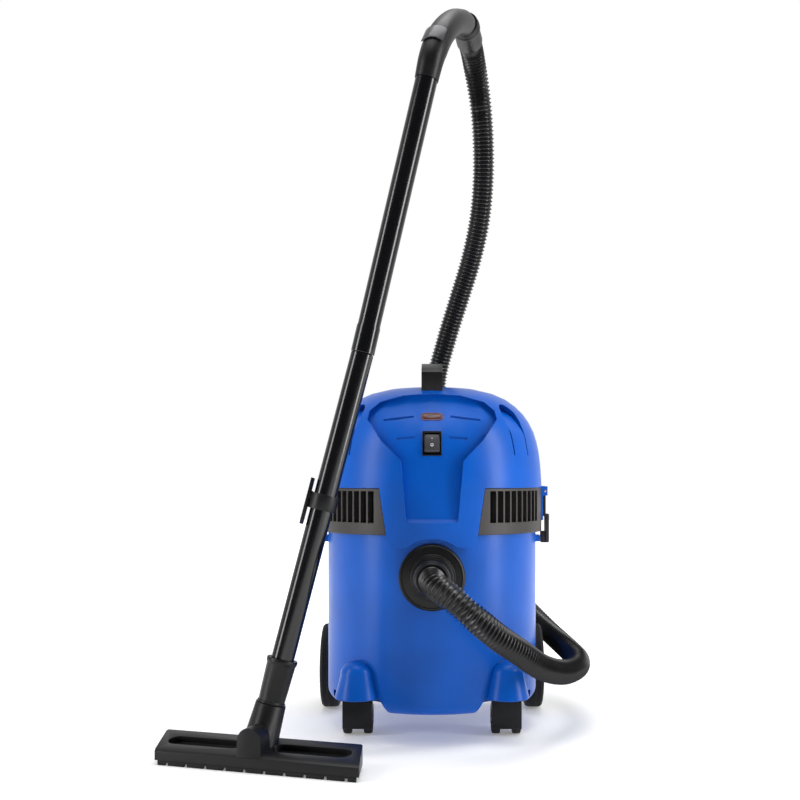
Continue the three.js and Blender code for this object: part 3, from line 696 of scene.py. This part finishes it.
def beam(start, end, height, depth):
    # a slim bar from start to end, reaching forward by depth
    a, b = Vector(start), Vector(end)
    bm = bmesh.new()
    half = Vector((0, 0, height / 2))
    face = bm.faces.new([bm.verts.new(p) for p in (a - half, b - half, b + half, a + half)])
    made = bmesh.ops.extrude_face_region(bm, geom=[face])["geom"]
    moved = [g for g in made if isinstance(g, bmesh.types.BMVert)]
    bmesh.ops.translate(bm, verts=moved, vec=(0, -depth, 0))
    bmesh.ops.recalc_face_normals(bm, faces=bm.faces)
    return bm


def onPanel(tilt, y, z):
    return Matrix.Translation((0, y, z)) @ Matrix.Rotation(-math.radians(tilt), 4, "X")


def stadiumPoints(halfLength, radius, steps=12):
    right = [-math.pi / 2 + math.pi * i / steps for i in range(steps + 1)]
    points = [(halfLength - radius + radius * math.cos(t), radius * math.sin(t)) for t in right]
    return points + [(-x, -z) for x, z in points]


def makeHead():
    inner = [(max(r - 4, 0), z - (4 if z > 440 else 0)) for r, z in head["dome"]]
    outer = turned([(0, 280), (174.5, 280), *head["dome"]], head["steps"])
    hollow = turned([(0, 270), (170.5, 270), *inner[:-1], (0, 530.5)], head["steps"])
    floors = []  # solid left behind each scoop, so that it has a floor
    for side in (-1, 1):
        turn = Matrix.Rotation(math.radians(side * head["scoopAzimuth"]), 4, "Z")
        floors.append(prism(scoopArch(4), -195, -90, turn))
    hollow = carve(hollow, [panelTool(3.5), bowlTool(3.5), *floors])
    solid = carve(outer, [panelTool(0), bowlTool(0), hollow])
    skirt = turned([(150, 270), (185, 270), (185, 376), (150, 376), (150, 270)], head["steps"])
    skirt = carve(skirt, [prism(apronPoints(0), -230, -60)])
    solid = carve(solid, [skirt])
    cuts = [scoopTool(-1), scoopTool(1)]
    for x1, z1, x2, z2 in head["dashes"]:
        cuts.append(beam((x1, panelDepth(x1, z1) + 1.8, z1), (x2, panelDepth(x2, z2) + 1.8, z2), 2.9, 14))
    cuts.append(box((-13.4, 13.4), (-20, 20), (-17.4, 17.4), onPanel(16.2, -148.1, 441)))
    cuts.append(prism(stadiumPoints(15.3, 5.6), -20, 20, onPanel(35.8, -124.9, 481.5)))
    glandHole = Matrix.Translation((0, 0, 410)) @ Matrix.Rotation(math.pi / 2, 4, "X")
    cuts.append(drum(8.3, 8.3, -190, -150, 32, glandHole))
    solid = carve(solid, cuts)
    pads = []
    for side in (-1, 1):
        pad = box(sorted((side * 160, side * 174.6)), (-30, 30), (324, 378))
        pads.append(carve(pad, [drum(170.5, 170.5, 300, 400, 96)]))
        for end in (-1, 1):
            pads.append(box(sorted((side * 172, side * 182.4)), sorted((end * 17.8, end * 23)), (363, 377.5)))
    for pad in pads:
        add(solid, pad)
    made = finishPiece("headShell", solid, blueShell, "head", ["head_shell"], 24)
    weigh = made.modifiers.new("evenShading", "WEIGHTED_NORMAL")
    weigh.keep_sharp = True


makeHead()
print("head ready")


# vent band
vents = {"count": 9, "first": 31, "pitch": 4.45, "half": 5.2, "inner": 170.7, "steps": 160}


def makeVentBand():
    inner = vents["inner"]
    solid = turned([
        (inner, 307.5), (173.4, 307.5), (174.2, 308.3), (174.2, 375), (173.5, 375.7), (inner, 375.7),
        (inner, 307.5),
    ], vents["steps"])
    front = prism(apronPoints(0.5), -220, -100)
    tools = [front]
    for side in (-1, 1):
        tools.append(box(sorted((side * 168, side * 180)), (-30.5, 30.5), (323.5, 380)))
    slots = bmesh.new()
    for back in (False, True):
        for side in (-1, 1):
            for i in range(vents["count"]):
                azimuth = vents["first"] + i * vents["pitch"]
                angle = math.radians(side * (180 - azimuth if back else azimuth))
                turn = Matrix.Rotation(angle, 4, "Z")
                add(slots, box((-vents["half"], vents["half"]), (-190, -150), (325, 371.5), turn))
    solid = carve(solid, [*tools, slots])
    finishPiece("ventBand", solid, greyShell, "head", ["vent_band"], 30)
    # painted shade: a dark ring behind the openings, so that none is seen through and they look shaded
    shadeRing = turned([(163, 325), (165.5, 325), (165.5, 372), (163, 372), (163, 325)], 96)
    shadeRing = carve(shadeRing, [prism(apronPoints(3), -220, -60)])
    finishPiece("ventShadeRing", shadeRing, paintedShadeBlack, "head", (), 30)


makeVentBand()
print("vent band ready")


# inlet: radius and distance from the tank's axis
inlet = {
    "height": 247,
    "steps": 96,
    "flange": [
        (18, 158), (48.5, 158), (48.5, 171), (47.8, 173), (46.2, 174.6), (44.4, 175.4), (43.4, 174.7),
        (34, 176.6), (33, 177.6), (18, 178), (18, 158),
    ],
    "cuff": [
        (18, 178.3), (31, 178.3), (31.6, 179), (31.6, 182.6), (30.8, 183.4), (28.6, 184), (28, 185),
        (27.4, 198), (26.6, 200), (25.2, 201), (24, 204.5), (22.8, 206), (20.4, 206), (19.8, 200), (18, 199),
        (18, 178.3),
    ],
}


def makeInlet():
    forward = Matrix.Translation((0, 0, inlet["height"])) @ Matrix.Rotation(math.pi / 2, 4, "X")
    disc = turned(inlet["flange"], inlet["steps"], forward)
    cutter = drum(165.3, 165.3, 150, 350, inlet["steps"])  # the tank's own curve
    disc = carve(disc, [cutter])
    finishPiece("inletFlange", disc, blackShell, "root", ["inlet_flange"], 30)
    cuff = turned(inlet["cuff"], inlet["steps"], forward)
    finishPiece("inletCuff", cuff, blackShell, "inlet_cuff", ["inlet_cuff"], 30)


makeInlet()
print("inlet ready")


# wheels
rearWheel = {"y": 125, "height": 70.25, "steps": 96, "grooves": (166.5, 170, 176, 179.5)}


def makeRearWheels():
    profile = [(52, 158), (60, 157.4), (65, 157), (68.2, 158.6), (69.6, 161.5), (70.1, 165)]
    for low in rearWheel["grooves"]:
        profile += [(70.2, low - 0.1), (68.9, low), (68.9, low + 0.9), (70.2, low + 1)]
    profile += [(70.1, 182), (69.2, 183.6), (67.4, 185.4), (65, 186), (58, 185.6), (52, 185), (52, 158)]
    for side, word in ((-1, "left"), (1, "right")):
        axle = Matrix.Translation((0, rearWheel["y"], rearWheel["height"]))
        tyre = turned(profile, rearWheel["steps"], axle @ Matrix.Rotation(side * math.pi / 2, 4, "Y"))
        name, stands = f"rearTyre{word.capitalize()}", [f"rear_tyre_{word}"]
        finishPiece(name, tyre, wheelRubber, f"rear_wheel_{word}", stands, 30)
        refined(f"rear_hub_{word}", blackShell, 0.6)
        refined(f"rear_cap_{word}", greyShell, 0.6)


makeRearWheels()

castor = {"x": 113, "y": -74, "height": 21.5, "steps": 48}
castorWheel = [
    (3.3, 9.2), (19.4, 9.2), (20.8, 9.8), (21.4, 11), (21.5, 12.6), (21.5, 18.6), (21.2, 20.4), (20.2, 21.8),
    (18.4, 22.4), (15, 22.3), (14.2, 21.4), (8, 21.4), (7, 22.4), (3.3, 22.4), (3.3, 9.2),
]
for side, word in ((-1, "left"), (1, "right")):
    hub = Matrix.Translation((side * castor["x"], castor["y"], castor["height"]))
    for end, letter in ((-1, "A"), (1, "B")):
        finishPiece(
            f"castor{word.capitalize()}Wheel{letter}",
            turned(castorWheel, castor["steps"], hub @ Matrix.Rotation(end * math.pi / 2, 4, "Y")),
            wheelRubber,
            f"castor_{word}_wheels",
            [f"castor_{word}_wheel_{letter.lower()}"],
            30,
        )
    refined(f"castor_{word}_hood", blackShell, 0.7, 34)
    refined(f"castor_{word}_stem", platedSteel, 0.4)
    refined(f"castor_{word}_axle", platedSteel, 0.3)
refined("rear_axle", platedSteel, 0.5)
print("wheels ready")


# latches, carry handle, switch, window
for word in ("left", "right"):
    refined(f"latch_{word}_pin", platedSteel, 0.3)
    refined(f"latch_{word}_arm", blackShell, 0.4)
    refined(f"latch_{word}_lever", greyShell, 0.8)
refined("carry_handle", blackShell, 1.6)
refined("switch_bezel", glossBlack, 0.7)
refined("rocker_switch", greyRocker, 0.8)
refined("filter_window", redLens, 0.9)
refined("cord_gland", blackShell, 0.6)


def makeSwitchMarks():
    # a line and a ring, the usual on and off signs, printed on the rocker
    face = Matrix.Translation((0, -148.1, 441)) @ Matrix.Rotation(-math.radians(16.2), 4, "X")
    line = box((-0.45, 0.45), (-3.4, -2.2), (4.2, 8.6))
    ringProfile = [(1.5, -0.6), (2.3, -0.6), (2.3, 0.6), (1.5, 0.6), (1.5, -0.6)]
    ringPlace = Matrix.Translation((0, -5.0, -3.4)) @ Matrix.Rotation(math.radians(79), 4, "X")
    ring = turned(ringProfile, 32, ringPlace)
    bmesh.ops.transform(line, matrix=Matrix.Translation((0, 0.5, 0)), verts=line.verts)
    marks = add(line, ring)
    bmesh.ops.transform(marks, matrix=face, verts=marks.verts)
    finishPiece("switchMarks", marks, whitePrint, "rocker", (), 40)


def makeWindowRim():
    # the rim round the window, in a lighter red that is partly a painted highlight round the lens
    tilt = onPanel(35.8, -124.9, 481.5)
    rim = carve(prism(stadiumPoints(16.6, 6.9), -1.5, 1.5), [prism(stadiumPoints(15.1, 5.4), -5, 5)])
    bmesh.ops.transform(rim, matrix=tilt, verts=rim.verts)
    finishPiece("windowRim", rim, redRimAndHighlight, "head", (), 40)


makeSwitchMarks()
makeWindowRim()

# motor, float and filter
refined("motor_plate", blackShell, 0.4)
refined("tank_gasket", wheelRubber, 0.5)
refined("motor_can", platedSteel, 0.4)
refined("motor_rotor", platedSteel, 0.3)
for number in range(1, 5):
    refined(f"motor_screw_{number}", platedSteel, 0.2)
refined("float_cage", blackShell, 0.5)
refined("float", whiteFoam, 1.2)
refined("filter_cartridge", paper, 0.0)
refined("filter_cap", blackShell, 0.8)
print("head fittings ready")


# floor nozzle
refined("nozzle_foot", blackShell, 1.0)
refined("nozzle_front_strip", wheelRubber, 0.4)
refined("nozzle_rear_strip", wheelRubber, 0.4)
print("nozzle ready")

# wand and handle
wand = {
    "neckTop": (-222.5, -238, 80),
    "joint": (-98, -210, 566),
    "top": (-8, -197, 956),
    "handle": [
        (-7.9, -197, 956.6), (-0.6, -195.3, 988), (12, -172, 1028), (29, -124, 1066), (44, -70, 1090),
        (51, -37, 1101.5),
    ],
    "cuffStart": (53, -26, 1102),
    "cuffEnd": (61, 22, 1097),
}


def makeWand():
    lower = lineFrame(wand["neckTop"], wand["joint"])
    length = (Vector(wand["joint"]) - Vector(wand["neckTop"])).length
    sleeve = turned([
        (16.3, 0.3), (19, 0.3), (19.5, 0.8), (19.5, 2.6), (18.9, 3.4), (18.3, 4.4), (18.9, 20), (20, 54),
        (20.6, 56.4), (21.3, 57.6), (21.5, 58.6), (21.5, 62), (21, 63), (16.3, 63), (16.3, 0.3),
    ], 64, lower)
    finishPiece("nozzleSleeve", sleeve, blackShell, "wand", ["nozzle_sleeve"], 30)
    tube = turned([
        (14.2, 8), (16, 8), (16, length - 1), (15.4, length - 0.3), (14.2, length - 0.3), (14.2, 8),
    ], 72, lower)
    finishPiece("lowerTube", tube, glossBlack, "wand", ["lower_tube"], 30)
    upper = lineFrame(wand["joint"], wand["top"])
    length = (Vector(wand["top"]) - Vector(wand["joint"])).length
    tube = turned([
        (14.2, 0.6), (16.4, 0.6), (16.8, 1.2), (16.8, 38), (16, 41), (16, length - 0.3),
        (14.2, length - 0.3), (14.2, 0.6),
    ], 72, upper)
    finishPiece("upperTube", tube, glossBlack, "wand", ["upper_tube"], 30)
    refined("parking_hook", blackShell, 0.7)
    points = curvePoints(wand["handle"], 3)
    count = len(points) - 1
    radii = [17.2 + 2.2 * min(1, i / count * 5, (count - i) / count * 8) for i in range(count + 1)]
    grip = sweep(points, radii, 48)
    finishPiece("handleTube", grip, blackShell, "wand", ["handle_tube"], 40)
    refined("air_slider", greyRocker, 0.6)
    cuffLine = lineFrame(wand["cuffStart"], wand["cuffEnd"])
    cuffLength = (Vector(wand["cuffEnd"]) - Vector(wand["cuffStart"])).length
    cuff = turned([
        (14, -9), (19.5, -9), (20.6, -7), (21, 0), (21.7, 1), (22, 2.4), (22, 8.6), (21.6, 10), (20.6, 11),
        (20.7, 30), (21, cuffLength - 3), (20.4, cuffLength - 0.5), (19.8, cuffLength), (14, cuffLength),
        (14, -9),
    ], 72, cuffLine)
    finishPiece("hoseCuff", cuff, blackShell, "hose_cuff", ["hose_cuff"], 30)


makeWand()
print("wand ready")


# floor
def makeFloor():
    bm = bmesh.new()
    bmesh.ops.create_grid(bm, x_segments=2, y_segments=2, size=8)
    floor = objectOf("floor", bm)
    floor.data.materials.append(floorPaint)


makeFloor()

print("finished")
